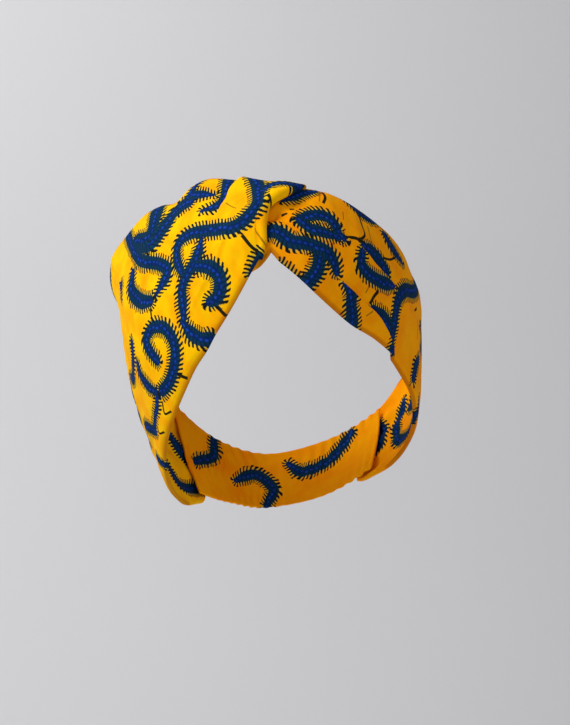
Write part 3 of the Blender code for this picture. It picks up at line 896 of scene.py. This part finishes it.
# Shader helpers
class Shader:
    """A material's nodes, made by short calls."""

    def __init__(self, name):
        self.material = bpy.data.materials.new(name)
        self.material.use_nodes = True
        self.tree = self.material.node_tree
        self.surface = self.tree.nodes["Principled BSDF"]

    def put(self, node, values):
        """Links or sets a node's inputs, in order or by name."""
        for key, value in values:
            if isinstance(value, bpy.types.NodeSocket):
                self.tree.links.new(value, node.inputs[key])
            else:
                node.inputs[key].default_value = value
        return node

    def calc(self, operation, *values, clamp=False):
        """Result of a math node."""
        node = self.tree.nodes.new("ShaderNodeMath")
        node.operation = operation
        node.use_clamp = clamp
        return self.put(node, enumerate(values)).outputs[0]

    def length(self, first, second):
        """Length of a vector of two numbers."""
        squares = [self.calc("MULTIPLY", value, value) for value in (first, second)]
        return self.calc("SQRT", self.calc("ADD", *squares))

    def parts(self, attribute):
        """The three numbers of a vector attribute of the mesh."""
        node = self.tree.nodes.new("ShaderNodeAttribute")
        node.attribute_name = attribute
        split = self.tree.nodes.new("ShaderNodeSeparateXYZ")
        self.tree.links.new(node.outputs["Vector"], split.inputs[0])
        return list(split.outputs)

    def vector(self, x, y, z=0.0):
        """A vector from three numbers."""
        node = self.tree.nodes.new("ShaderNodeCombineXYZ")
        return self.put(node, enumerate((x, y, z))).outputs[0]

    def noise(self, at, scale, detail=2.0, roughness=0.5):
        """Smooth noise from 0 to 1."""
        node = self.tree.nodes.new("ShaderNodeTexNoise")
        values = (("Vector", at), ("Scale", scale), ("Detail", detail), ("Roughness", roughness))
        return self.put(node, values).outputs["Fac"]

    def chance(self, number):
        """A number from 0 to 1 that differs for each whole number."""
        node = self.tree.nodes.new("ShaderNodeTexWhiteNoise")
        node.noise_dimensions = "1D"
        return self.put(node, (("W", number),)).outputs["Value"]

    def mix(self, share, first, second):
        """Colour between two."""
        node = self.tree.nodes.new("ShaderNodeMix")
        node.data_type = "RGBA"
        values = ((0, share), (6, first), (7, second))
        return self.put(node, values).outputs[2]

    def under(self, value, limit, blur):
        """1 where a value is under a limit, 0 where it is over, with a soft step of the given width."""
        gap = self.calc("SUBTRACT", limit, value)
        return self.calc("MULTIPLY_ADD", gap, 1 / blur, 0.5, clamp=True)


# The print's drawing
def scroll_masks(shader, layer, spots):
    """Masks of one layer of feathered scrolls: body, bristles, glow between the bristles, ribs and dots."""
    run, outside, side = shader.parts(f"scrolls_{layer}")
    tremble = shader.calc("SUBTRACT", shader.noise(spots, 0.55, 1.0), 0.5)
    leaning = shader.calc("MULTIPLY_ADD", side, BRISTLE_SLANT, run)
    leaning = shader.calc("MULTIPLY_ADD", tremble, TREMBLE, leaning)
    counted = shader.calc("MULTIPLY", leaning, 1 / BRISTLE_PITCH)
    number = shader.calc("ADD", shader.calc("FLOOR", counted), BRISTLE_SEED * layer)
    luck = shader.chance(number)
    across = shader.calc("SUBTRACT", shader.calc("FRACT", counted), 0.5)
    across = shader.calc("MULTIPLY", shader.calc("ABSOLUTE", across), BRISTLE_PITCH)
    reach = shader.calc("MULTIPLY_ADD", luck, BRISTLE_VARIES, BRISTLE_LENGTH - BRISTLE_VARIES / 2)
    straight = shader.calc("SUBTRACT", reach, BRISTLE_HALF)
    over = shader.calc("MAXIMUM", shader.calc("SUBTRACT", outside, straight), 0.0)
    inner = shader.calc("MULTIPLY", shader.under(outside, 0.6, 1.2), ROOT_THICKER)
    thick = shader.calc("ADD", inner, BRISTLE_HALF)
    bristle = shader.under(shader.length(across, over), thick, 0.22)
    body = shader.under(outside, 0.0, 0.25)
    glow = shader.under(outside, GLOW_WIDTH, 0.8)
    rib = shader.under(across, RIB_HALF, 0.3)

    dots = shader.calc("MULTIPLY", run, 1 / DOT_PITCH)
    dot_luck = shader.chance(shader.calc("ADD", shader.calc("FLOOR", dots), DOT_SEED * layer + 0.5))
    along_dots = shader.calc("SUBTRACT", shader.calc("FRACT", dots), 0.5)
    along_dots = shader.calc("MULTIPLY", along_dots, DOT_PITCH / DOT_LENGTH * 2)
    stray = shader.calc("SUBTRACT", dot_luck, 0.5)
    wide = shader.calc("MULTIPLY_ADD", stray, DOT_STRAYS, side)
    wide = shader.calc("MULTIPLY", wide, 2 / DOT_WIDTH)
    oval = shader.length(along_dots, wide)
    inside = shader.under(outside, -DOT_MARGIN, 0.4)
    bright = shader.calc("MULTIPLY_ADD", dot_luck, 1 - DOT_DIMMEST, DOT_DIMMEST)
    dot = shader.calc("MULTIPLY", shader.calc("MULTIPLY", shader.under(oval, 0.95, 0.6), inside), bright)
    core = shader.under(shader.calc("ABSOLUTE", side), CORE_HALF, 0.6)
    return {"body": body, "bristle": bristle, "glow": glow, "rib": rib, "dot": dot, "core": core}


def vine_mask(shader, attribute):
    """Mask of thin lines."""
    side, outside, past = shader.parts(attribute)
    line = shader.under(shader.calc("ABSOLUTE", side), 1.0, 0.3)
    near = shader.under(outside, 0.6, 0.3)
    before_end = shader.under(past, 0.0, 0.3)
    return shader.calc("MULTIPLY", shader.calc("MULTIPLY", line, near), before_end)


def weave_height(shader, along, across):
    """Height of a plain weave: warp over weft, turn about."""
    warp = shader.calc("SINE", shader.calc("MULTIPLY", along, 2 * np.pi / THREAD_PITCH))
    weft = shader.calc("SINE", shader.calc("MULTIPLY", across, 2 * np.pi / THREAD_PITCH))
    return shader.calc("MULTIPLY_ADD", shader.calc("MULTIPLY", warp, weft), 0.5, 0.5)


def wax_print_cotton(name, ground, deep):
    """Matt cotton with feathered scrolls, printed on a ground colour; a lighter or darker ground paints a
    lit or a shaded copy of the same cotton.
    """
    shader = Shader(name)
    along, across, to_border = shader.parts("cloth")
    spots = shader.vector(along, across)
    patches = shader.noise(spots, 0.055, 3.0, 0.55)
    patches = shader.calc("MULTIPLY_ADD", patches, 4.2, -1.75, clamp=True)
    colour = shader.mix(patches, ground, deep)
    flecks = shader.noise(spots, 1.7, 4.0, 0.7)
    colour = shader.mix(shader.calc("MULTIPLY_ADD", flecks, 0.5, -0.2, clamp=True), colour, PALE_FLECK)
    # Painted shade: the colour darkens to dark red-brown within a few millimetres of both borders, where the
    # rolled hem lies in shadow.
    rim = shader.calc("MULTIPLY", shader.under(to_border, RIM_SHADE, 1.2), RIM_SHARE)
    colour = shader.mix(rim, colour, BORDER_PAINTED_SHADE)

    masks = [scroll_masks(shader, layer, spots) for layer in range(LAYERS)]
    hairs = shader.calc("MULTIPLY", vine_mask(shader, "hairs"), HAIR_SHARE)
    colour = shader.mix(hairs, colour, HAIR_OLIVE)
    for mask in masks:
        colour = shader.mix(shader.calc("MULTIPLY", mask["glow"], GLOW_SHARE), colour, GLOW_OLIVE)
    colour = shader.mix(vine_mask(shader, "vines"), colour, VINE_BLACK)
    for mask in masks:
        colour = shader.mix(mask["bristle"], colour, BRISTLE_BLACK)
    mottle = shader.noise(spots, 0.9, 3.0, 0.6)
    for mask in masks:
        flank = shader.mix(mottle, BODY_TEAL, BODY_NAVY)
        flank = shader.mix(shader.calc("MULTIPLY", mask["rib"], RIB_SHARE), flank, BRISTLE_BLACK)
        inside = shader.mix(mask["core"], flank, BODY_NAVY)
        inside = shader.mix(mask["dot"], inside, DOT_BLUE)
        colour = shader.mix(mask["body"], colour, inside)


    weave = weave_height(shader, along, across)
    slubs = shader.noise(spots, 2.3, 3.0, 0.6)
    height = shader.calc("MULTIPLY_ADD", slubs, 0.8, weave)
    bump = shader.tree.nodes.new("ShaderNodeBump")
    shader.put(bump, (("Strength", WEAVE_BUMP), ("Distance", WEAVE_DEPTH), ("Height", height)))
    shader.put(shader.surface, (("Base Color", colour), ("Roughness", COTTON_ROUGHNESS),
                                ("Specular IOR Level", COTTON_SHINE), ("Normal", bump.outputs["Normal"])))
    return shader.material


# Stage
def stage_material(name, colour):
    """Pale matt paint with a faint mottle."""
    shader = Shader(name)
    spots = shader.tree.nodes.new("ShaderNodeTexCoord").outputs["Object"]
    tone = shader.noise(spots, 1.3, 3.0)
    shaded = tuple(0.96 * part for part in colour[:3]) + (1.0,)
    shader.put(shader.surface, (("Base Color", shader.mix(tone, colour, shaded)), ("Roughness", 0.9)))
    return shader.material


def backdrop():
    """Pale floor that curves up into a wall behind."""
    bend = np.linspace(0, np.pi / 2, 24)
    y = np.concatenate([[STAGE_FRONT], WALL_Y - BEND_RADIUS + BEND_RADIUS * np.sin(bend), [WALL_Y]])
    z = np.concatenate([[FLOOR_Z], FLOOR_Z + BEND_RADIUS * (1 - np.cos(bend)), [STAGE_TOP]])
    left = np.column_stack([np.full(len(y), -STAGE_HALF), y, z])
    right = left * (-1, 1, 1)
    mesh = bpy.data.meshes.new("backdrop")
    numbers = np.arange(2 * len(y)).reshape(2, -1)
    mesh.from_pydata(np.concatenate([left, right]).tolist(), [], grid_quads(numbers).tolist())
    mesh.polygons.foreach_set("use_smooth", np.ones(len(mesh.polygons), bool))
    mesh.materials.append(stage_material("pale_paint", STAGE_GREY))
    wall = bpy.data.objects.new("backdrop", mesh)
    bpy.context.scene.collection.objects.link(wall)


def area_light(name, place, target, size, power, colour):
    """Soft light that shines from a place towards a target."""
    light = bpy.data.lights.new(name, "AREA")
    light.shape = "DISK"
    light.size = size
    light.energy = power
    light.color = colour
    lamp = bpy.data.objects.new(name, light)
    lamp.location = place
    lamp.rotation_euler = (Vector(target) - Vector(place)).to_track_quat("-Z", "Y").to_euler()
    bpy.context.scene.collection.objects.link(lamp)


def camera():
    """Camera level with the headband, straight in front of it."""
    data = bpy.data.cameras.new("camera")
    data.sensor_width = 36
    data.lens = LENS
    view = bpy.data.objects.new("camera", data)
    view.location = CAMERA_PLACE
    view.rotation_euler = (np.pi / 2, 0, 0)
    bpy.context.scene.collection.objects.link(view)
    bpy.context.scene.camera = view


def world():
    """Even pale surroundings."""
    surroundings = bpy.data.worlds.new("surroundings")
    surroundings.use_nodes = True
    light = surroundings.node_tree.nodes["Background"]
    light.inputs["Color"].default_value = WORLD_COLOUR
    light.inputs["Strength"].default_value = WORLD_STRENGTH
    bpy.context.scene.world = surroundings


# Making
def add_piece(name, cloth, prints, material):
    """One piece of cloth in the place of its plain solid."""
    piece = cloth_object(name + "_cloth", cloth, print_fields(cloth, *prints))
    piece.data.materials.append(material)
    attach(piece, "root")
    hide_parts(name)


camera()
world()
backdrop()
for row in LIGHTS:
    area_light(*row)
bpy.context.scene.view_settings.view_transform = "Standard"

# Lit and shaded copies of one cotton: the right panel's ground is painted lighter yellow as lit, and the
# left panel's and the nape's grounds are painted darker amber and orange as shade.
right_cotton_painted_light = wax_print_cotton("wax_print_right_lit", LIT_GROUND_YELLOW, AMBER_PATCH_AND_SHADED_GROUND)
left_cotton_painted_shade = wax_print_cotton("wax_print_left_shaded", AMBER_PATCH_AND_SHADED_GROUND, SHADED_PATCH_ORANGE)
nape_cotton_painted_shade = wax_print_cotton("wax_print_nape_shaded", AMBER_PATCH_AND_SHADED_GROUND, SHADED_PATCH_ORANGE)
add_piece("right_panel", right_cloth(), (RIGHT_SCROLLS, RIGHT_VINES, RIGHT_HAIRS), right_cotton_painted_light)
add_piece("left_panel", left_cloth(), (LEFT_SCROLLS, LEFT_VINES, LEFT_HAIRS), left_cotton_painted_shade)
add_piece("nape_band", nape_cloth(), (BAND_SCROLLS, [], []), nape_cotton_painted_shade)
